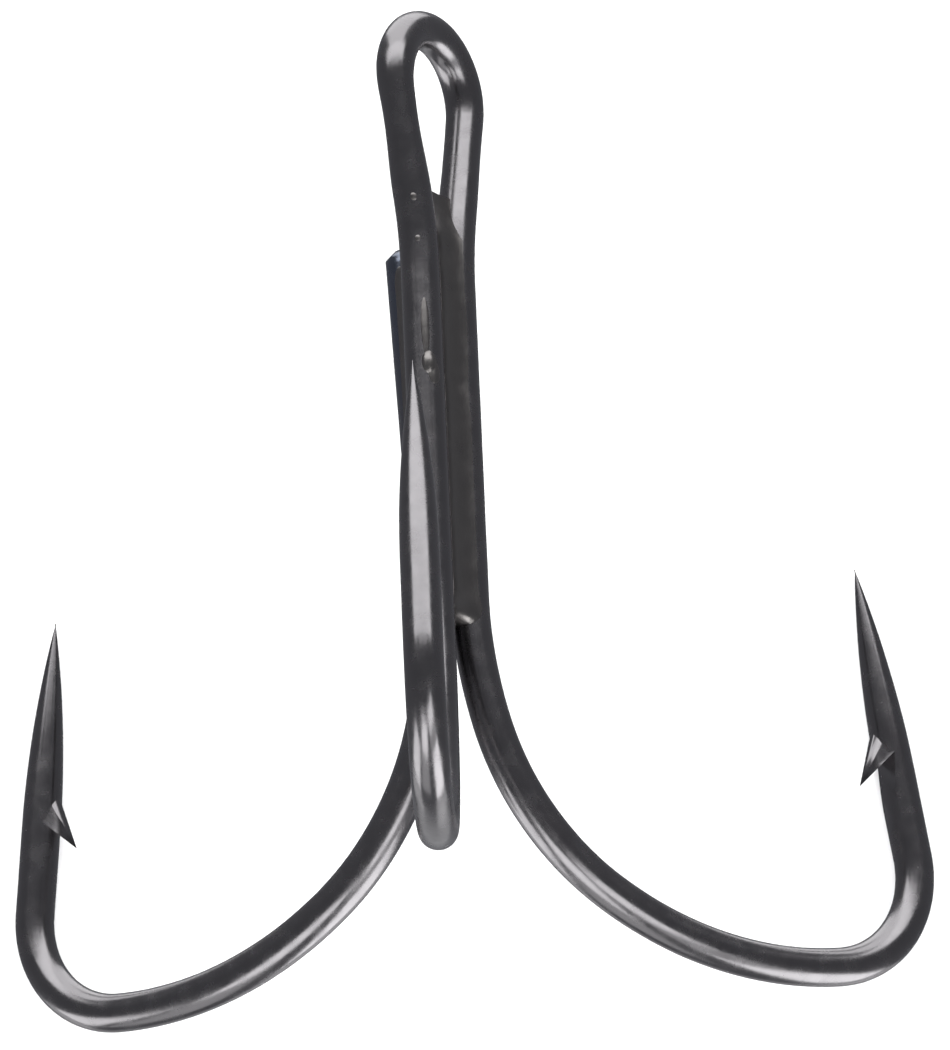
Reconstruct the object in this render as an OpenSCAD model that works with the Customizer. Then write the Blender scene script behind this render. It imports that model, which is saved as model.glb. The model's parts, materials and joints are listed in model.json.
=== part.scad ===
// Treble fishing hook, lying at rest on its two lower hooks, with the third hook standing up.
// One wire is bent into the line eye and two of the hooks. A second wire is the third hook,
// nested in the groove of the first one, and three runs of braze hold the two wires together.
// Origin: centre of the line eye. +Y points out of the eye, along the shank; +Z is up.

/* [Wire] */
// Diameter of the hook wire
wire_d = 1.45; // [1.2:0.05:1.45]

/* [Line eye] */
// Radius of the round top of the eye, to the middle of the wire
eye_r = 2.4; // [2.2:0.1:3]
// Angle at which each leg of the eye leaves the shank
eye_spread = 11.8; // [9:0.1:16]
// Radius of the bend where each leg of the eye leaves the shank
eye_foot_r = 13.8; // [10:0.1:16]

/* [Shank] */
// Length of the straight shank, from the hook bends to the foot of the eye
shank_len = 11.9; // [10:0.1:16]
// Distance from the treble's axis to the two wires that carry the eye
double_offset = 1.42; // [1.4:0.01:1.6]
// Distance from the treble's axis to the single hook's wire
single_offset = 0.12; // [0.12:0.01:0.5]
// Length of the single hook's straight shank
single_len = 13.3; // [10:0.1:15]
// Chamfer on the cut end of the single hook's shank
end_chamfer = 0.35; // [0.1:0.05:0.5]
// Angle at which the single hook's shank leans away from the other two
single_lean = 2.5; // [0:0.1:3]

/* [Hook bend] */
// Radius of the gentle bend that leaves the shank
first_r = 16.5; // [14:0.1:20]
// Angle turned by the gentle bend
first_turn = 17; // [14:0.5:20]
// Radius of the bend that sweeps outwards
sweep_r = 10.6; // [9:0.1:13]
// Angle turned by the sweep
sweep_turn = 41.5; // [38:0.5:45]
// Radius of the shallow belly at the bottom
belly_r = 14; // [12:0.1:16]
// Angle turned by the belly
belly_turn = 40.5; // [38:0.5:44]
// Radius of the tight corner below the point
corner_r = 4; // [3:0.1:5]
// Angle turned by the tight corner
corner_turn = 90.5; // [86:0.5:94]

/* [Point and barb] */
// Length of the straight leg, from the corner to the tip of the point
leg_len = 11.1; // [10.2:0.1:14]
// Length over which the wire narrows to the point
point_len = 7.9; // [7:0.1:9]
// Distance from the tip of the point back to the root of the barb, on the two hooks that share a wire
double_barb_root = 7.2; // [6.5:0.1:7.5]
// Distance from the tip of the point back to the root of the barb, on the single hook
single_barb_root = 7.6; // [6.5:0.1:7.6]
// Length of the barb, a sliver of the leg that is cut and lifted
barb_len = 1.7; // [1.3:0.1:2]
// Length of the shallow cut that the barb leaves in the leg
barb_cut_len = 3; // [2.2:0.1:3.2]
// Depth of the cut at the root of the barb
barb_depth = 0.46; // [0.34:0.02:0.5]
// Angle at which the barb is lifted off the leg
barb_lift = 36; // [20:1:40]

/* [Braze] */
// How far the braze runs down past the start of the hook bends
braze_below = 1.3; // [0.5:0.1:2.5]
// How far the braze web runs up past the foot of the eye
braze_above = 3.2; // [0.5:0.1:3.5]
// Radius of the hollow in the braze web's face, between the two wires of the eye
web_hollow_r = 1.6; // [1.4:0.1:3]
// How far the braze web stands out past the middles of the eye's two wires
web_fill = 0.45; // [0.3:0.05:0.6]
// Depth of the hollow in the braze web's face
web_dip = 0.15; // [0.05:0.05:0.25]
// How far each braze seam fills out of its groove
seam_fill = 0.62; // [0.5:0.02:0.75]

/* [Rest] */
// Angle between the shank and the surface that the hook lies on
rest_tilt = 9; // [0:0.1:20]
// Turn of the treble about its own axis, at which both lower hooks touch the surface
rest_turn = 148.7; // [145:0.1:155]

/* [Hidden] */
$fn = 72;

wire_r = wire_d / 2;
hook_angle = 120;
point_blunt = 0.02;
point_steps = 12;
cut_reach = 2 * wire_d;
plating = "#2b2b30";
braze_tone = "#38383c";

// Bends of a hook in order from the shank, each as its radius and the angle that it turns
BENDS = [
    [first_r, first_turn],
    [sweep_r, sweep_turn],
    [belly_r, belly_turn],
    [corner_r, corner_turn]
];

// The wires that carry the eye lie side by side, away from the single hook
double_x = -double_offset * cos(hook_angle / 2);
double_y = double_offset * sin(hook_angle / 2);

// Legs of the eye: a bend at the foot, a straight run, then the round top
foot_out = eye_foot_r * (1 - cos(eye_spread));
foot_up = eye_foot_r * sin(eye_spread);
leg_run = (eye_r * cos(eye_spread) - double_y - foot_out) / sin(eye_spread);
eye_z = shank_len + foot_up + leg_run * cos(eye_spread) + eye_r * sin(eye_spread);

// Needle point: radius at a distance from its tip, on one long arc that meets the wire smoothly
point_arc = (wire_r * wire_r + point_len * point_len) / wire_d;
function point_r(from_tip) =
    max(point_blunt, sqrt(pow(point_arc, 2) - pow(point_len - from_tip, 2)) + wire_r - point_arc);

web_len = braze_below + shank_len + braze_above;
// The seams stop just short of the single hook's chamfered end
seam_len = braze_below + single_len - 2 * end_chamfer;

// ---------- wire, bent in the plane of X and Z ----------

// Moves by a rounded step and then by the small remainder, so that bends meet without a gap
module move_to(place) {
    step = [for (v = place) round(v * 1000) / 1000];
    translate(step) translate(place - step) children();
}

module straight(length) cylinder(d = wire_d, h = length);

// Arc of wire about a centre at [x, z], from one angle to a later one, counted from +X towards +Z
module bend(centre, radius, from, turn)
    move_to([centre[0], 0, centre[1]]) rotate([90, 0, 0])
        rotate_extrude(start = from, angle = turn) translate([radius, 0]) circle(d = wire_d);

// ---------- point and barb ----------

// Straight leg with its needle point, before the barb is cut
module plain_leg() {
    straight(leg_len - point_len);
    translate([0, 0, leg_len]) mirror([0, 0, 1]) rotate_extrude() polygon(concat(
        [[0, point_len], [0, 0]],
        [for (i = [0 : point_steps]) [point_r(point_len * i / point_steps), point_len * i / point_steps]]
    ));
}

// Space of a slanting cut: deepest at the barb's root and running out behind it
module barb_cut(root, length)
    translate([0, 0, leg_len - root]) rotate([90, 0, 0])
        linear_extrude(height = cut_reach, center = true) polygon([
            [wire_r - barb_depth, 0],
            [wire_r, -length],
            [2 * wire_d, -length],
            [2 * wire_d, 0]
        ]);

// Sliver of the leg, lifted about its root so that its free end stands clear
module barb(root) {
    root_x = wire_r - barb_depth;
    translate([root_x, 0, leg_len - root]) rotate([0, -barb_lift, 0])
        translate([-root_x, 0, root - leg_len])
            intersection() {
                plain_leg();
                barb_cut(root, barb_len);
            }
}

module point_leg(root) {
    difference() {
        plain_leg();
        barb_cut(root, barb_cut_len);
    }
    barb(root);
}

// ---------- one hook, from the end of its shank to its point ----------

// Turned so far, where each bend starts
function turned(i) = i == 0 ? 0 : turned(i - 1) + BENDS[i - 1][1];

// Where each bend starts, as [outwards, upwards] from the end of the shank
function bend_start(i) = i == 0 ? [0, 0] : bend_centre(i - 1) - outwards(i - 1, turned(i));

function outwards(i, angle) = BENDS[i][0] * [cos(angle), sin(angle)];

function bend_centre(i) = bend_start(i) + outwards(i, turned(i));

// Hangs below the start of the bends and opens towards +X
module hook_below(root) {
    last = len(BENDS);
    leg_foot = bend_start(last);
    for (i = [0 : last - 1])
        bend(bend_centre(i), BENDS[i][0], 180 + turned(i), BENDS[i][1]);
    move_to([leg_foot[0], 0, leg_foot[1]]) rotate([0, 180 - turned(last), 0])
        mirror([1, 0, 0]) point_leg(root);
}

// ---------- the two wires, standing with the eye at the top ----------

// One side of the double hook: a hook, its shank and one leg of the eye
module double_side() {
    move_to([double_x, double_y, 0]) {
        rotate([0, 0, hook_angle]) hook_below(double_barb_root);
        straight(shank_len);
    }
    move_to([double_x, 0, 0]) rotate([0, 0, 90]) {
        bend([double_y + eye_foot_r, shank_len], eye_foot_r, 180 - eye_spread, eye_spread);
        move_to([double_y + foot_out, 0, shank_len + foot_up]) rotate([0, eye_spread, 0]) straight(leg_run);
    }
}

module double_wire() {
    move_to([double_x, 0, 0]) rotate([0, 0, 90])
        bend([0, eye_z], eye_r, -eye_spread, 180 + 2 * eye_spread);
    double_side();
    mirror([0, 1, 0]) double_side();
}

module single_wire()
    translate([single_offset, 0, 0]) rotate([0, single_lean, 0]) {
        hook_below(single_barb_root);
        straight(single_len - end_chamfer);
        translate([0, 0, single_len - end_chamfer])
            cylinder(r1 = wire_r, r2 = wire_r - end_chamfer, h = end_chamfer);
    }

// ---------- braze: solid runs with the wires cut out of them ----------

module braze_run(outline, length)
    difference() {
        translate([0, 0, -braze_below]) linear_extrude(height = length) polygon(outline);
        double_wire();
        single_wire();
    }

// Web that fills the space between all three wires, out to a hollow face between the eye's two
module web() {
    face_x = double_x - web_fill;
    difference() {
        braze_run([
            [single_offset, 0],
            [double_x, double_y],
            [face_x, double_y],
            [face_x, -double_y],
            [double_x, -double_y]
        ], web_len);
        translate([face_x + web_dip - web_hollow_r, 0, -braze_below - cut_reach])
            cylinder(r = web_hollow_r, h = web_len + 2 * cut_reach);
    }
}

// Seam in the groove between the single hook and the wire on the +Y side
module seam() {
    groove_out = [double_y, single_offset - double_x] / norm([double_y, single_offset - double_x]);
    groove = [single_offset + double_x, double_y] / 2;
    braze_run([
        [single_offset, 0],
        groove + seam_fill * groove_out,
        [double_x, double_y]
    ], seam_len);
}

// ---------- the treble laid down on its two lower hooks, with the eye's centre at the origin ----------

module lay_down()
    rotate([-90 - rest_tilt, 0, 0]) rotate([0, 0, rest_turn])
        translate([-double_x, 0, -eye_z]) children();

module double_hook() color(plating) lay_down() double_wire();

module single_hook() color(plating) lay_down() single_wire();

module braze_web() color(braze_tone) lay_down() web();

module braze_seam_upper() color(braze_tone) lay_down() seam();

module braze_seam_lower() color(braze_tone) lay_down() mirror([0, 1, 0]) seam();

double_hook();
single_hook();
braze_web();
braze_seam_upper();
braze_seam_lower();
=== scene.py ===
import json
import math

import bmesh
import bpy
from mathutils import Matrix, Vector, noise


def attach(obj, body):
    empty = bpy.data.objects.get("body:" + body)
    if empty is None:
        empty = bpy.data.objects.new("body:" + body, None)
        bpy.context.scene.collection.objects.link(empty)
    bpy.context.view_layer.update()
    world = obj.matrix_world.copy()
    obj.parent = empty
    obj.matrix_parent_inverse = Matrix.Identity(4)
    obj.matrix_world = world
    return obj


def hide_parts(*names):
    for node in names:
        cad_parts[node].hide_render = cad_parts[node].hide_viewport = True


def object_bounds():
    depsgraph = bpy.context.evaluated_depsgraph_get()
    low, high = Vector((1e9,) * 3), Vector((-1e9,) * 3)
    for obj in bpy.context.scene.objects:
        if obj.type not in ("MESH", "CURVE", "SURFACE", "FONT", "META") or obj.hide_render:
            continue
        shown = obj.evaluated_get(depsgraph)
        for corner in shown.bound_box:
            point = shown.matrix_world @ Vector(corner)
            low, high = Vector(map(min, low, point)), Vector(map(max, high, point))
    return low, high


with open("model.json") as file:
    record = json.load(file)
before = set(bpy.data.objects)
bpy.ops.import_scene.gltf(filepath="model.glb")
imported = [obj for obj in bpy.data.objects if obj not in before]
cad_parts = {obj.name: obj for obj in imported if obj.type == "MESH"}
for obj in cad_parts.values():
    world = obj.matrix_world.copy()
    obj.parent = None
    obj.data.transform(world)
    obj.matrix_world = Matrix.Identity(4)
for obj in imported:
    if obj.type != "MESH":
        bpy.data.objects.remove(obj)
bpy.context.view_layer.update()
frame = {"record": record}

# One millimetre in metres, the row frame's unit
MM = 0.001

# ---------- sizes of the hook, in millimetres and degrees, as in the CAD model ----------

WIRE_R = 0.725
HOOK_ANGLE = 120
DOUBLE_OFFSET = 1.42
SINGLE_OFFSET = 0.12
SINGLE_LEN = 13.3
SINGLE_LEAN = 2.5
END_CHAMFER = 0.35
SHANK_LEN = 11.9
EYE_R = 2.4
EYE_SPREAD = 11.8
EYE_FOOT_R = 13.8
# Bends of a hook in order from the shank: radius, and angle in degrees
BENDS = [(16.5, 17), (10.6, 41.5), (14, 40.5), (4, 90.5)]
LEG_LEN = 11.1
POINT_LEN = 7.9
POINT_BLUNT = 0.02
DOUBLE_BARB_ROOT = 7.2
SINGLE_BARB_ROOT = 7.6
BARB_DEPTH = 0.46
BARB_CUT_LEN = 3.0
BRAZE_BELOW = 1.3
BRAZE_ABOVE = 3.2
# How far the seams stop below the end of the single hook's shank
SEAM_SHORT = 2 * END_CHAMFER
REST_TILT = 9
REST_TURN = 148.7

DOUBLE_X = -DOUBLE_OFFSET * math.cos(math.radians(HOOK_ANGLE / 2))
DOUBLE_Y = DOUBLE_OFFSET * math.sin(math.radians(HOOK_ANGLE / 2))

# Legs of the eye: a bend at the foot, a straight run, then the round top
SPREAD = math.radians(EYE_SPREAD)
FOOT_OUT = EYE_FOOT_R * (1 - math.cos(SPREAD))
FOOT_UP = EYE_FOOT_R * math.sin(SPREAD)
LEG_RUN = (EYE_R * math.cos(SPREAD) - DOUBLE_Y - FOOT_OUT) / math.sin(SPREAD)
EYE_Z = SHANK_LEN + FOOT_UP + LEG_RUN * math.cos(SPREAD) + EYE_R * math.sin(SPREAD)
# Radius of the long arc that narrows the wire to its point
POINT_ARC = (WIRE_R ** 2 + POINT_LEN ** 2) / (2 * WIRE_R)
# Moves of a hook's centre line, from the end of its shank to its point
HOOK_MOVES = [("bend", radius, degrees) for radius, degrees in BENDS] + [("run", LEG_LEN)]

# ---------- finer shape of the wires and barbs, in millimetres ----------

# The wire's radius as a share of the CAD model's
WIRE_SHARE = 0.992
# The wire's unevenness, as (share of its radius, waves in a millimetre)
WIRE_WOBBLE = [(0.006, 0.55), (0.0025, 1.9)]
# The thinner stretch of the eye's legs: its middle, half its length, and the share of the radius that the
# legs on the -Y and +Y sides lose there
EYE_LEG_Z = 17.6
EYE_LEG_HALF = 2.7
EYE_LEG_THIN = (0.04, 0.12)
# The barb's tip, from the leg's axis and from the barb's root
BARB_REACH = 1.66
BARB_BACK = 1.12
# The barb's rounded ridge: how far ahead of the root its middle leaves the leg, how much less its sides do,
# and half its width round the leg in degrees
RIDGE_TOP = 0.85
RIDGE_FALL = 0.48
RIDGE_HALF_ANGLE = 34
# How far the barb's ridge and its root are set into the leg, so that barb and leg join without a gap
RIDGE_SINK = 0.012
ROOT_SINK = 0.02

# ---------- finer shape of the braze, in millimetres ----------

# Radius of the hollow faces
WEB_HOLLOW = 1.6
SEAM_HOLLOW = 0.8
# Unevenness of a hollow's radius, as (share of the radius, row of the noise, waves in a millimetre)
BRAZE_WOBBLE = [(0.22, 0, 0.45), (0.07, 5, 1.7)]
# Where in the noise the web and the seams start
WEB_SEED = 3.1
SEAM_SEED = 7.7
# How far the braze's hidden sides and its drops reach inside the wires' full radius, so that no gap shows
BRAZE_BITE = 0.012
DROP_BITE = 0.04
# Length over which a run rounds off at an end, and over which a seam does at its top
BRAZE_END = 0.6
SEAM_TOP_FADE = 0.9
# Radius towards which the hollow faces shrink at the very ends
BRAZE_THIN = 0.1
# The bead near the web's low end: how much wider it makes the hollow, its height above that end, and half its
# length
WEB_BEAD = 0.5
BEAD_UP = 0.6
BEAD_WIDTH = 0.4
# How far the finished web climbs past the top of the CAD model's plain one
WEB_CLIMB = 0.2
# Least thickness of the web over the single hook, and half its least thickness above that hook's end, before
# its top is thinned
WEB_SLIVER = 0.1
# Height over which the web thins to its top edge, and the share of its thickness left there
WEB_TOP_FADE = 1.85
WEB_EDGE = 0.3
# Drops of braze on the eye's wires: side, height, turn round the wire in degrees, length, width, thickness
DROPS = [
    (1, 9.55, 129, 2.7, 0.4, 0.04),
    (1, 8.15, 137, 0.95, 0.62, 0.13),
    (1, 7.75, 152, 1.0, 0.6, 0.05),
    (1, 14.5, 121, 0.4, 0.36, 0.035),
    (1, 12.95, 120, 0.32, 0.3, 0.022),
    (-1, -0.85, 98, 0.6, 0.5, 0.08),
]
# A drop's profile: 0.5 would make it an ellipse, and more makes its rim less steep
DROP_ROUND = 0.75

# ---------- mesh settings ----------

SIDES = 72
BEND_STEP = math.radians(1.5)
RUN_STEP = 0.2
POINT_STEPS = 70
# How strongly the point's stations crowd towards its tip
POINT_CROWD = 1.4
# How much of the shank's end has no stations but those of its chamfer, in lengths of that chamfer
CHAMFER_CLEAR = 1.5
RIDGE_STEPS = 8
BRAZE_STEP = 0.1
FACE_STEPS = 14
WEB_GRIP_STEPS = 12
SEAM_GRIP_STEPS = 10
DROP_RINGS = 8
DROP_SPOKES = 28
FLOOR_SIDES = 96
SHARP_ANGLE = math.radians(50)
MERGE_WITHIN = 1e-5

# ---------- looks ----------

# Faint tints of the plating, which follow each other across a cloudy pattern
WIRE_TONES = [(0.165, 0.178, 0.222), (0.193, 0.197, 0.22), (0.2, 0.198, 0.218), (0.212, 0.205, 0.212)]
CUT_TONES = [(0.74, 0.74, 0.78), (0.86, 0.86, 0.88)]
BRAZE_TONES = [(0.165, 0.17, 0.19), (0.185, 0.183, 0.195), (0.21, 0.2, 0.195)]
# Blue that the single hook's shank turns towards its cut end, and the stretch along Y over which it does, in
# millimetres
HEAT_BLUE = (0.155, 0.172, 0.215)
HEAT_RUN = (-15, -9)
# Lowest and highest roughness
WIRE_ROUGH = (0.2, 0.3)
CUT_ROUGH = (0.68, 0.8)
BRAZE_ROUGH = (0.27, 0.38)
# Height of the bumps, in millimetres
WIRE_GRAIN = 0.003
CUT_GRAIN = 0.006
BRAZE_GRAIN = 0.01
# Cloudy patterns: size in millimetres, and detail
TINT_CLOUD = (1.9, 3)
DULL_CLOUD = (0.7, 5)
GRAIN_CLOUD = (0.3, 3)
# Stretches of a pattern's values that the tints and the roughness spread over
TINT_SPREAD = (0.25, 0.75)
DULL_SPREAD = (0.3, 0.7)

# ---------- camera, floor, room and lights ----------

# Direction from the hook to the camera, which leans off the vertical, and the camera's up
CAMERA_LEAN = math.radians(9.26)
VIEW_BACK = Vector((0, -math.sin(CAMERA_LEAN), math.cos(CAMERA_LEAN)))
VIEW_UP = Vector((0.0441, 0.9860, 0.1607))
LOOK_AT = Vector((0.956, -16.287, 0.696)) * MM
# Distances in metres, lens and sensor in millimetres
CAMERA_DISTANCE = 0.6
LENS = 560.7
SENSOR = 36
CLIP_START = 0.01
FLOOR_RADIUS = 3
FLOOR_TONE = (0.9, 0.9, 0.9)
FLOOR_ROUGH = 0.9
ROOM_TONE = (0.97, 0.98, 1.06)
GROUND_TONE = (0.92, 0.92, 0.92)
# The room's brightness above and below, and the heights of a direction between which it changes
ROOM_GLOW = (0.16, 0.2)
ROOM_BAND = (0.6, -0.6)
LIGHT_DISTANCE = 1.0
# Softboxes: name, azimuth, lowest and highest angle from the vertical, width in degrees, brightness
SOFTBOXES = [
    ("eye_end_tip", 90, (33, 41), 40, 1.2),
    ("eye_end_upper", 90, (42, 71), 84, 2.6),
    ("eye_end_lower", 91, (72, 135), 62, 2.0),
    ("right_lamp", 306, (27, 48), 30, 3.1),
    ("right_fill", 303, (49, 69), 36, 0.7),
    ("right_softbox", 305, (70, 122), 32, 3.5),
    ("right_low", 305, (123, 148), 30, 0.7),
    ("left_lamp", 250, (36, 71), 28, 3.0),
    ("left_softbox", 216, (72, 120), 26, 2.6),
    ("left_low", 216, (121, 145), 26, 0.8),
    ("left_fill", 252, (73, 112), 30, 0.8),
    ("ground_softbox", 270, (140, 170), 50, 0.35),
]
# Lights the floor from above, and the hook doesn't reflect it
FLOOR_LIGHT = ("floor_light", 0, (-35, 35), 70, 3.4)

X_AXIS = Vector((1, 0, 0))
UP = Vector((0, 0, 1))


# ---------- frames ----------

def turn_z(degrees):
    return Matrix.Rotation(math.radians(degrees), 4, "Z")


def lay_down():
    """From the treble standing on its axis, in millimetres, to the row's frame, in metres."""
    eye = Vector(frame["record"]["mounts"][0]["pos_m"])
    stand_to_rest = Matrix.Rotation(math.radians(-90 - REST_TILT), 4, "X") @ turn_z(REST_TURN)
    return (Matrix.Translation(eye) @ Matrix.Scale(MM, 4) @ stand_to_rest
            @ Matrix.Translation((-DOUBLE_X, 0, -EYE_Z)))


def axes(x, y, z, origin):
    """Matrix of a frame with these axes and this origin."""
    return Matrix((
        (x.x, y.x, z.x, origin.x),
        (x.y, y.y, z.y, origin.y),
        (x.z, y.z, z.z, origin.z),
        (0, 0, 0, 1),
    ))


# ---------- centre lines ----------

def bent_wire(place, heading, side, moves):
    """Centre line of a wire as (point, heading) pairs. A move is ("run", length) or ("bend", radius, degrees).
    A bend turns towards side, or away from it when its degrees are negative."""
    place, heading, side = place.copy(), heading.normalized(), side.normalized()
    line = [(place.copy(), heading.copy())]
    for move in moves:
        if move[0] == "run":
            steps = max(1, round(move[1] / RUN_STEP))
            line += [(place + heading * (move[1] * i / steps), heading.copy()) for i in range(1, steps + 1)]
        else:
            radius, angle = move[1], math.radians(move[2])
            sign = math.copysign(1, angle)
            centre = place + side * radius * sign
            start, start_side = heading.copy(), side.copy()
            steps = max(2, math.ceil(abs(angle) / BEND_STEP))
            for i in range(1, steps + 1):
                a = angle * i / steps
                heading = start * math.cos(a) + start_side * math.sin(a)
                side = start_side * math.cos(a) - start * math.sin(a)
                line.append((centre - side * radius * sign, heading.copy()))
        place = line[-1][0].copy()
    return line


def flipped(line):
    return [(point, -heading) for point, heading in reversed(line)]


def double_line():
    """One point, its hook and shank, the eye, and the other shank, hook and point."""
    foot_bend = ("bend", EYE_FOOT_R, EYE_SPREAD)
    half_top = ("bend", EYE_R, -90 - EYE_SPREAD)
    rise = [("run", SHANK_LEN), foot_bend, ("run", LEG_RUN), half_top]
    halves = []
    for side in (1, -1):
        foot = Vector((DOUBLE_X, side * DOUBLE_Y, 0))
        outward = turn_z(side * HOOK_ANGLE) @ X_AXIS
        lower = flipped(bent_wire(foot, -UP, outward, HOOK_MOVES))
        upper = bent_wire(foot, UP, Vector((0, side, 0)), rise)
        halves.append(lower + upper[1:])
    return halves[0] + flipped(halves[1])[1:]


def single_frame():
    return Matrix.Translation((SINGLE_OFFSET, 0, 0)) @ Matrix.Rotation(math.radians(SINGLE_LEAN), 4, "Y")


def single_line():
    """The cut end of the shank, down the shank, round the bends and up to the point."""
    lean = single_frame()
    top = lean @ Vector((0, 0, SINGLE_LEN))
    turned = lean.to_3x3()
    down, outward = turned @ -UP, turned @ X_AXIS
    return bent_wire(top, down, outward, [("run", SINGLE_LEN)] + HOOK_MOVES)


# ---------- meshes ----------

def to_object(name, bm):
    """Object made of the mesh, with its faces turned outwards."""
    bmesh.ops.recalc_face_normals(bm, faces=bm.faces)
    mesh = bpy.data.meshes.new(name)
    bm.to_mesh(mesh)
    bm.free()
    piece = bpy.data.objects.new(name, mesh)
    bpy.context.scene.collection.objects.link(piece)
    return piece


def join_rings(bm, rings):
    """Closed solid through rings of the same number of vertices."""
    count = len(rings[0])
    for lower, upper in zip(rings, rings[1:]):
        for k in range(count):
            j = (k + 1) % count
            bm.faces.new((lower[k], lower[j], upper[j], upper[k]))
    bm.faces.new(list(reversed(rings[0])))
    bm.faces.new(rings[-1])


def combine(piece, other, operation):
    """Boolean of two closed meshes, applied. The other piece is used up."""
    tool = piece.modifiers.new("cut", "BOOLEAN")
    tool.operation = operation
    tool.solver = "EXACT"
    tool.object = other
    graph = bpy.context.evaluated_depsgraph_get()
    result = bpy.data.meshes.new_from_object(piece.evaluated_get(graph))
    piece.modifiers.clear()
    piece.data = result
    bpy.data.objects.remove(other)


def smooth_shade(piece):
    """Smooth shading that stops at the sharp edges."""
    bm = bmesh.new()
    bm.from_mesh(piece.data)
    bmesh.ops.remove_doubles(bm, verts=bm.verts, dist=MERGE_WITHIN)
    for face in bm.faces:
        face.smooth = True
    for edge in bm.edges:
        edge.smooth = len(edge.link_faces) == 2 and edge.calc_face_angle(0) < SHARP_ANGLE
    bm.to_mesh(piece.data)
    bm.free()


def set_materials(piece, materials):
    piece.data.materials.clear()
    for material in materials:
        piece.data.materials.append(material)


# ---------- wire ----------

def point_radius(from_tip):
    if from_tip >= POINT_LEN:
        return WIRE_R
    swell = math.sqrt(POINT_ARC ** 2 - (POINT_LEN - from_tip) ** 2) + WIRE_R - POINT_ARC
    return max(POINT_BLUNT, swell)


def resample_point(line):
    """Closer stations over the last stretch of a line, which is straight and ends in the point."""
    tip, heading = line[-1]
    kept = [station for station in line if (tip - station[0]).length > LEG_LEN - RUN_STEP / 2]
    leg = [LEG_LEN - RUN_STEP * i for i in range(1, int((LEG_LEN - POINT_LEN) / RUN_STEP))]
    point = [POINT_LEN * (i / POINT_STEPS) ** POINT_CROWD for i in range(POINT_STEPS, -1, -1)]
    return kept + [(tip - heading * from_tip, heading.copy()) for from_tip in leg + point]


def wire_wobble(point):
    """Share of the full radius that the wire has at a point: a little uneven, and less in the eye's legs."""
    uneven = sum(share * noise.noise(point * waves) for share, waves in WIRE_WOBBLE)
    up = abs(point.z - EYE_LEG_Z) / EYE_LEG_HALF
    thin = (math.cos(math.pi * up) + 1) / 2 if up < 1 else 0
    return WIRE_SHARE + uneven - EYE_LEG_THIN[int(point.y > 0)] * thin


def sweep(name, line, radii):
    """Closed mesh of a round wire along its centre line."""
    bm = bmesh.new()
    side = line[0][1].orthogonal().normalized()
    rings = []
    for (point, ahead), radius in zip(line, radii):
        side = (side - ahead * side.dot(ahead)).normalized()
        across = ahead.cross(side)
        ring = []
        for k in range(SIDES):
            a = 2 * math.pi * k / SIDES
            out = (side * math.cos(a) + across * math.sin(a)) * radius
            ring.append(bm.verts.new(point + out * wire_wobble(point + out)))
        rings.append(ring)
    join_rings(bm, rings)
    return to_object(name, bm)


def point_radii(line, tips):
    """Radius at each station of a wire that narrows to a point at each of the tips."""
    return [point_radius(min((point - tip).length for tip in tips)) for point, _ in line]


# ---------- barbs ----------

def leg_frame(tip, heading, inward, root):
    """At the barb's root on the leg's axis: X inwards, Y square to the hook, Z towards the point."""
    origin = tip - heading * root
    x = (inward - heading * inward.dot(heading)).normalized()
    y = heading.cross(x)
    return axes(x, y, heading, origin)


def hull_piece(name, points, place, cut_from):
    """Convex solid. A face that touches a point at or past cut_from in the list is a cut face, and the rest
    are plated."""
    bm = bmesh.new()
    for p in points:
        bm.verts.new(Vector(p))
    bm.verts.index_update()
    made = bmesh.ops.convex_hull(bm, input=bm.verts)
    for face in bm.faces:
        face.material_index = int(any(v.index >= cut_from for v in face.verts))
    spare = {g for g in made["geom_interior"] + made["geom_unused"] if isinstance(g, bmesh.types.BMVert)}
    bmesh.ops.delete(bm, geom=list(spare), context="VERTS")
    bm.transform(place)
    return to_object(name, bm)


def cut_wedge(place):
    """Space of the shallow cut that runs out behind the barb's root, and ends on the straight leg."""
    floor, far = WIRE_R - BARB_DEPTH, 2 * WIRE_R
    corners = [(floor, 0), (WIRE_R, -BARB_CUT_LEN), (far, -BARB_CUT_LEN), (far, 0)]
    points = [(x, y, z) for y in (-far, far) for x, z in corners]
    return hull_piece("wedge", points, place, cut_from=len(points))


def thorn(place):
    """Lifted sliver: a rounded outer ridge, a flat flank on each side, a flat underside and a tip."""
    ridge = []
    for i in range(RIDGE_STEPS + 1):
        across = 2 * i / RIDGE_STEPS - 1
        a = math.radians(RIDGE_HALF_ANGLE) * across
        reach = WIRE_R - RIDGE_SINK
        ridge.append((reach * math.cos(a), reach * math.sin(a), RIDGE_TOP - RIDGE_FALL * across ** 2))
    tip = (BARB_REACH, 0, -BARB_BACK)
    root = WIRE_R - BARB_DEPTH
    half = math.sqrt(WIRE_R ** 2 - root ** 2) - RIDGE_SINK
    base = [(root - ROOT_SINK, side * half, 0) for side in (-1, 1)]
    points = ridge + [tip] + base
    return hull_piece("thorn", points, place, cut_from=len(ridge) + 1)


def add_barb(piece, tip, heading, inward, root):
    """root is the distance from the tip of the point back to the root of the barb."""
    place = leg_frame(tip, heading, inward, root)
    combine(piece, cut_wedge(place), "DIFFERENCE")
    combine(piece, thorn(place), "UNION")


# ---------- braze ----------

def double_centre(side, z):
    """Centre of one of the eye's two wires at a height, in the plane across the treble."""
    centre = Vector((DOUBLE_X, side * DOUBLE_Y))
    if z < 0:
        first = BENDS[0][0]
        out = turn_z(side * HOOK_ANGLE) @ X_AXIS
        return centre + out.xy * (first - math.sqrt(first ** 2 - z ** 2))
    if z > SHANK_LEN:
        centre.y += side * (EYE_FOOT_R - math.sqrt(EYE_FOOT_R ** 2 - (z - SHANK_LEN) ** 2))
    return centre


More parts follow.
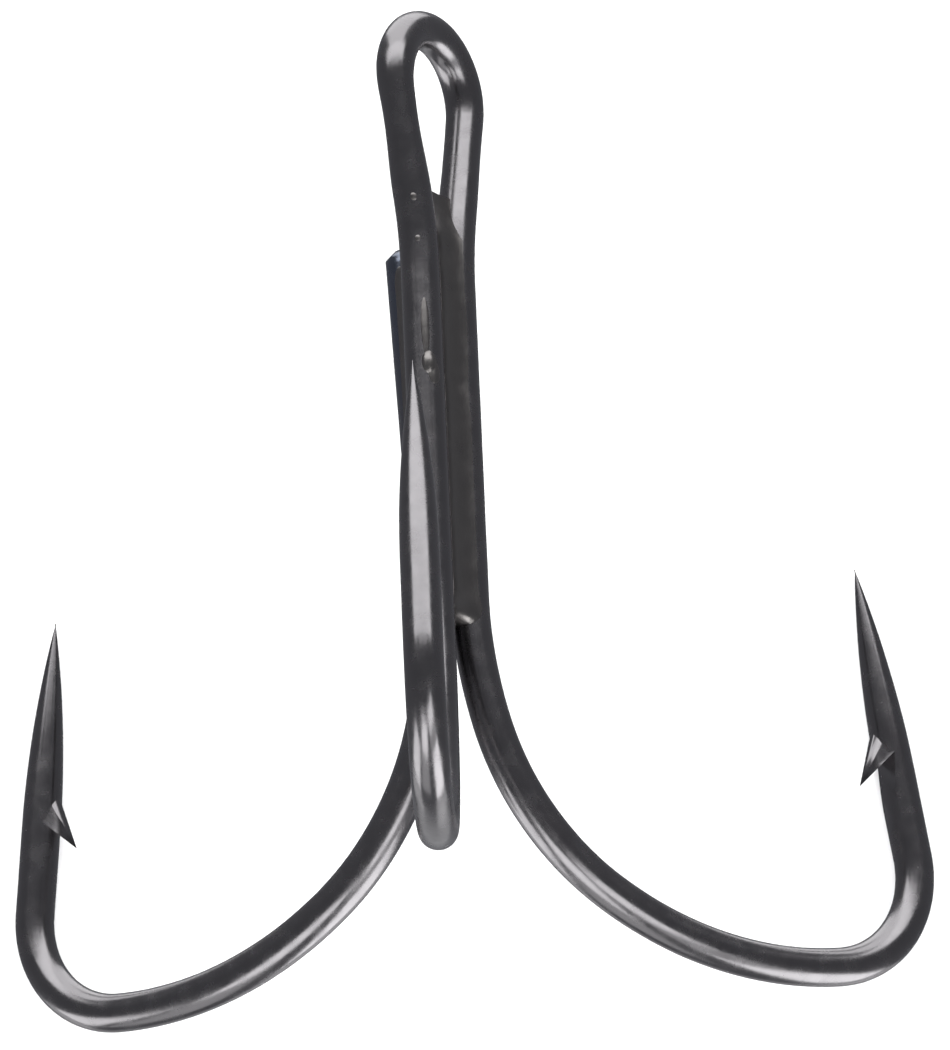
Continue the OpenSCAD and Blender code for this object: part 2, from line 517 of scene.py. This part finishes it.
def single_centre(z):
    """Centre of the single hook's wire at a height, in the same plane."""
    first = BENDS[0][0]
    out = first - math.sqrt(first ** 2 - z ** 2) if z < 0 else 0
    return (single_frame() @ Vector((out, 0, z))).xy


def arc(centre, radius, start, end, steps):
    """Points round a centre, the short way from one direction to another."""
    a = math.atan2(start.y, start.x)
    sweep_by = (math.atan2(end.y, end.x) - a + math.pi) % (2 * math.pi) - math.pi
    return [centre + radius * Vector((math.cos(a + sweep_by * i / steps), math.sin(a + sweep_by * i / steps)))
            for i in range(steps + 1)]


def hollow_face(a, b, outward, radius):
    """Hollow face of braze between two wires, running smoothly into both, from wire a to wire b."""
    half = (b - a).length / 2
    reach = max(WIRE_R + radius, half + BRAZE_BITE)
    centre = (a + b) / 2 + outward * math.sqrt(reach ** 2 - half ** 2)
    return centre, arc(centre, reach - WIRE_R, a - centre, b - centre, FACE_STEPS)


def web_ring(z, hollow):
    """Section of the web: a hollow face in front, and behind either the single hook or a second hollow face.
    The hollow is wide enough for the front to stay clear of the back."""
    low, high, single = double_centre(-1, z), double_centre(1, z), single_centre(z)
    grip = WIRE_R - BRAZE_BITE
    on_single = z < SINGLE_LEN - END_CHAMFER
    room = (single.x - grip - low.x if on_single else 0) - WEB_SLIVER
    half = (high.y - low.y) / 2
    least = (half ** 2 - WIRE_R ** 2 + room ** 2) / (2 * (WIRE_R + room))
    hollow = max(hollow, least)
    front, face = hollow_face(low, high, -X_AXIS.xy, hollow)
    if on_single:
        back = arc(single, grip, high - single, low - single, FACE_STEPS)
        from_high = from_low = single
    else:
        from_high, back = hollow_face(high, low, X_AXIS.xy, hollow)
        from_low = from_high
    high_side = arc(high, grip, front - high, from_high - high, WEB_GRIP_STEPS)
    low_side = arc(low, grip, from_low - low, front - low, WEB_GRIP_STEPS)
    return face + high_side + back + low_side


def seam_ring(side, z, hollow):
    """Section of a seam: a hollow face between the single hook and the wire on one side."""
    wire, single = double_centre(side, z), single_centre(z)
    across = (wire - single).normalized()
    outward = Vector((across.y, -across.x)) * side
    centre, face = hollow_face(single, wire, outward, hollow)
    grip = WIRE_R - BRAZE_BITE
    wire_side = arc(wire, grip, centre - wire, single - wire, SEAM_GRIP_STEPS)
    single_side = arc(single, grip, wire - single, centre - single, SEAM_GRIP_STEPS)
    return face + wire_side + single_side


def ramp(distance, length):
    """Rises from 0 at an end of a run to 1 past its rounded end."""
    t = min(1, max(0, distance / length))
    return math.sqrt(t * (2 - t))


def braze_run(bm, low, high, hollow, ring_at, seed, bead=0, top=SEAM_TOP_FADE):
    """Run of braze with both ends rounded off over BRAZE_END and top, and a bead near its low end."""
    steps = math.ceil((high - low) / BRAZE_STEP)
    rings = []
    for i in range(steps + 1):
        z = low + (high - low) * i / steps
        ends = min(ramp(z - low, BRAZE_END), ramp(high - z, top))
        uneven = 1
        for share, row, waves in BRAZE_WOBBLE:
            uneven += share * noise.noise(Vector((seed, row, z * waves)))
        swell = 1 + bead * math.exp(-((z - low - BEAD_UP) / BEAD_WIDTH) ** 2)
        radius = BRAZE_THIN + (hollow * uneven * swell - BRAZE_THIN) * ends
        rings.append([bm.verts.new((p.x, p.y, z)) for p in ring_at(z, radius)])
    join_rings(bm, rings)


def drop(bm, side, z, turn, length, width, thickness):
    """Low rounded drop of braze on one of the eye's wires."""

    def place(along, around, lift):
        centre = double_centre(side, along)
        return bm.verts.new((centre.x + lift * math.cos(around), centre.y + lift * math.sin(around), along))

    middle = math.radians(turn)
    crown = place(z, middle, WIRE_R + thickness)
    grid = []
    spots = [2 * math.pi * k / DROP_SPOKES for k in range(DROP_SPOKES)]
    for i in range(1, DROP_RINGS + 1):
        out = i / DROP_RINGS
        lift = WIRE_R - DROP_BITE + (thickness + DROP_BITE) * (1 - out ** 2) ** DROP_ROUND
        half_length, half_turn = length / 2 * out, width / 2 * out / WIRE_R
        grid.append([
            place(z + half_length * math.cos(a), middle + half_turn * math.sin(a), lift)
            for a in spots
        ])
    for k in range(DROP_SPOKES):
        j = (k + 1) % DROP_SPOKES
        bm.faces.new((crown, grid[0][k], grid[0][j]))
        for inner, outer in zip(grid, grid[1:]):
            bm.faces.new((inner[k], outer[k], outer[j], inner[j]))
    bm.faces.new(list(reversed(grid[-1])))


def thin_top(bm, top):
    """Thins the web smoothly towards its top edge."""
    for vert in bm.verts:
        down = min(1, (top - vert.co.z) / WEB_TOP_FADE)
        thickness = WEB_EDGE + (1 - WEB_EDGE) * down ** 2 * (3 - 2 * down)
        vert.co.x = DOUBLE_X + (vert.co.x - DOUBLE_X) * thickness


def make_web(material):
    bm = bmesh.new()
    high = SHANK_LEN + BRAZE_ABOVE + WEB_CLIMB
    braze_run(bm, -BRAZE_BELOW, high, WEB_HOLLOW, web_ring, WEB_SEED, bead=WEB_BEAD, top=BRAZE_END)
    thin_top(bm, high)
    for place_and_size in DROPS:
        drop(bm, *place_and_size)
    finish_piece(to_object("braze_web_run", bm), "braze_web", [material])


def make_seam(side, name, node, material):
    bm = bmesh.new()
    high = SINGLE_LEN - SEAM_SHORT
    braze_run(bm, -BRAZE_BELOW, high, SEAM_HOLLOW, lambda z, r: seam_ring(side, z, r), SEAM_SEED + side)
    finish_piece(to_object(name, bm), node, [material])


# ---------- the pieces ----------

def finish_piece(piece, node, materials):
    """Lays the piece down in the row's frame, gives it its shading and materials, and hides the CAD node it
    replaces.
    """
    piece.data.transform(lay_down())
    smooth_shade(piece)
    set_materials(piece, materials)
    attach(piece, "root")
    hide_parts(node)


def make_double(materials):
    line = resample_point(double_line())
    line = flipped(resample_point(flipped(line)))
    piece = sweep("double_hook_wire", line, point_radii(line, [line[0][0], line[-1][0]]))
    set_materials(piece, materials)
    for side, (tip, heading) in ((1, line[0]), (-1, line[-1])):
        towards_tip = -heading if side == 1 else heading
        outward = turn_z(side * HOOK_ANGLE) @ X_AXIS
        add_barb(piece, tip, towards_tip, -outward, DOUBLE_BARB_ROOT)
    finish_piece(piece, "double_hook", materials)


def make_single(materials):
    line = resample_point(single_line())
    top, down = line[0]
    tip, heading = line[-1]
    chamfered = [(top, down), (top + down * END_CHAMFER, down)]
    rest = [station for station in line if (station[0] - top).length > END_CHAMFER * CHAMFER_CLEAR]
    radii = [WIRE_R - END_CHAMFER, WIRE_R] + point_radii(rest, [tip])
    piece = sweep("single_hook_wire", chamfered + rest, radii)
    set_materials(piece, materials)
    outward = single_frame().to_3x3() @ X_AXIS
    add_barb(piece, tip, heading, -outward, SINGLE_BARB_ROOT)
    finish_piece(piece, "single_hook", materials)


# ---------- materials ----------

def map_range(tree, value, source, target):
    """Node that spreads a value from one stretch over another."""
    node = tree.nodes.new("ShaderNodeMapRange")
    tree.links.new(value, node.inputs["Value"])
    node.inputs["From Min"].default_value = source[0]
    node.inputs["From Max"].default_value = source[1]
    node.inputs["To Min"].default_value = target[0]
    node.inputs["To Max"].default_value = target[1]
    return node


def cloud(tree, place, size, detail):
    """Value of a cloudy pattern, with clouds of a size in millimetres."""
    texture = tree.nodes.new("ShaderNodeTexNoise")
    texture.inputs["Scale"].default_value = 1 / size
    texture.inputs["Detail"].default_value = detail
    tree.links.new(place, texture.inputs["Vector"])
    return texture.outputs["Fac"]


def tinted(tree, value, tones):
    """Colour that runs through the tones with a value."""
    tint = tree.nodes.new("ShaderNodeValToRGB")
    tree.links.new(value, tint.inputs["Fac"])
    spots = tint.color_ramp.elements
    spots.remove(spots[1])
    for i, tone in enumerate(tones):
        spot = spots[0] if i == 0 else spots.new(0)
        spot.position = TINT_SPREAD[0] + (TINT_SPREAD[1] - TINT_SPREAD[0]) * i / (len(tones) - 1)
        spot.color = (*tone, 1)
    return tint.outputs["Color"]


def heated(tree, place, colour, stretch):
    """Colour that turns blue over a stretch along Y."""
    apart = tree.nodes.new("ShaderNodeSeparateXYZ")
    tree.links.new(place, apart.inputs["Vector"])
    blueing = map_range(tree, apart.outputs["Y"], stretch, (0, 1))
    blueing.interpolation_type = "SMOOTHSTEP"
    mix = tree.nodes.new("ShaderNodeMix")
    mix.data_type = "RGBA"
    tree.links.new(blueing.outputs["Result"], mix.inputs["Factor"])
    tree.links.new(colour, mix.inputs["A"])
    mix.inputs["B"].default_value = (*HEAT_BLUE, 1)
    return mix.outputs["Result"]


def nickel(name, tones, roughness, grain, heat=None):
    """Black nickel, from its tints, its lowest and highest roughness and the height of its bumps.
    heat is the stretch along Y over which it turns blue. Lengths are in millimetres."""
    material = bpy.data.materials.new(name)
    material.use_nodes = True
    tree = material.node_tree
    shader = tree.nodes["Principled BSDF"]
    shader.inputs["Metallic"].default_value = 1.0
    place = tree.nodes.new("ShaderNodeTexCoord")
    scale = tree.nodes.new("ShaderNodeMapping")
    scale.inputs["Scale"].default_value = (1 / MM,) * 3
    tree.links.new(place.outputs["Object"], scale.inputs["Vector"])
    spot = scale.outputs["Vector"]

    colour = tinted(tree, cloud(tree, spot, *TINT_CLOUD), tones)
    if heat:
        colour = heated(tree, spot, colour, heat)
    tree.links.new(colour, shader.inputs["Base Color"])

    dull = map_range(tree, cloud(tree, spot, *DULL_CLOUD), DULL_SPREAD, roughness)
    tree.links.new(dull.outputs["Result"], shader.inputs["Roughness"])

    bumps = tree.nodes.new("ShaderNodeBump")
    bumps.inputs["Distance"].default_value = grain * MM
    tree.links.new(cloud(tree, spot, *GRAIN_CLOUD), bumps.inputs["Height"])
    tree.links.new(bumps.outputs["Normal"], shader.inputs["Normal"])
    return material


# ---------- stage, light and camera ----------

def make_camera():
    data = bpy.data.cameras.new("camera")
    data.lens = LENS
    data.sensor_width = SENSOR
    data.clip_start = CLIP_START
    camera = bpy.data.objects.new("camera", data)
    back = VIEW_BACK.normalized()
    right = VIEW_UP.cross(back).normalized()
    up = back.cross(right)
    camera.matrix_world = axes(right, up, back, LOOK_AT + back * CAMERA_DISTANCE)
    bpy.context.scene.collection.objects.link(camera)
    bpy.context.scene.camera = camera


def make_floor():
    """White floor under the hook. It casts no shadow and shows in no reflection."""
    bm = bmesh.new()
    bmesh.ops.create_circle(bm, cap_ends=True, segments=FLOOR_SIDES, radius=FLOOR_RADIUS)
    floor = to_object("floor", bm)
    floor.location.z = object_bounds()[0][2]
    material = bpy.data.materials.new("floor_white")
    material.use_nodes = True
    shader = material.node_tree.nodes["Principled BSDF"]
    shader.inputs["Base Color"].default_value = (*FLOOR_TONE, 1)
    shader.inputs["Roughness"].default_value = FLOOR_ROUGH
    floor.data.materials.append(material)
    floor.visible_glossy = False
    floor.visible_shadow = False


def softbox(name, azimuth, polar, width, radiance):
    """Soft light seen from the hook at an azimuth from +X, between two angles from the vertical, all in
    degrees. It is hidden from the camera, so that no view has a lamp in front of it."""
    middle = math.radians(sum(polar) / 2)
    turn = math.radians(azimuth)
    towards = Vector((math.sin(middle) * math.cos(turn), math.sin(middle) * math.sin(turn), math.cos(middle)))
    data = bpy.data.lights.new(name, "AREA")
    data.shape = "RECTANGLE"
    data.size = 2 * LIGHT_DISTANCE * math.tan(math.radians(width / 2))
    data.size_y = 2 * LIGHT_DISTANCE * math.tan(math.radians((polar[1] - polar[0]) / 2))
    data.energy = radiance * math.pi * data.size * data.size_y
    light = bpy.data.objects.new(name, data)
    straight_above = middle == 0
    side = X_AXIS if straight_above else UP.cross(towards).normalized()
    rise = towards.cross(side)
    light.matrix_world = axes(side, rise, towards, LOOK_AT + towards * LIGHT_DISTANCE)
    light.visible_camera = False
    bpy.context.scene.collection.objects.link(light)
    return light


def make_world():
    """Dim room that the hook reflects, a little brighter towards the floor. The camera sees a pale ground."""
    world = bpy.data.worlds.new("studio")
    world.use_nodes = True
    tree = world.node_tree
    place = tree.nodes.new("ShaderNodeTexCoord")
    height = tree.nodes.new("ShaderNodeSeparateXYZ")
    tree.links.new(place.outputs["Generated"], height.inputs["Vector"])
    glow = map_range(tree, height.outputs["Z"], ROOM_BAND, ROOM_GLOW)
    room = tree.nodes["Background"]
    room.inputs["Color"].default_value = (*ROOM_TONE, 1)
    tree.links.new(glow.outputs["Result"], room.inputs["Strength"])
    ground = tree.nodes.new("ShaderNodeBackground")
    ground.inputs["Color"].default_value = (*GROUND_TONE, 1)
    path = tree.nodes.new("ShaderNodeLightPath")
    mix = tree.nodes.new("ShaderNodeMixShader")
    tree.links.new(path.outputs["Is Camera Ray"], mix.inputs["Fac"])
    tree.links.new(room.outputs["Background"], mix.inputs[1])
    tree.links.new(ground.outputs["Background"], mix.inputs[2])
    tree.links.new(mix.outputs["Shader"], tree.nodes["World Output"].inputs["Surface"])
    bpy.context.scene.world = world


def make_lights():
    for settings in SOFTBOXES:
        softbox(*settings)
    overhead = softbox(*FLOOR_LIGHT)
    overhead.visible_glossy = False


# ---------- the scene ----------

bpy.context.scene.view_settings.view_transform = "Standard"
make_camera()
make_world()
make_floor()
make_lights()
plated = nickel("black_nickel", WIRE_TONES, WIRE_ROUGH, WIRE_GRAIN)
blued = nickel("black_nickel_blued", WIRE_TONES, WIRE_ROUGH, WIRE_GRAIN, heat=HEAT_RUN)
cut = nickel("black_nickel_cut", CUT_TONES, CUT_ROUGH, CUT_GRAIN)
braze = nickel("black_nickel_braze", BRAZE_TONES, BRAZE_ROUGH, BRAZE_GRAIN)
make_double([plated, cut])
make_single([blued, cut])
make_web(braze)
make_seam(1, "braze_seam_upper_run", "braze_seam_upper", braze)
make_seam(-1, "braze_seam_lower_run", "braze_seam_lower", braze)
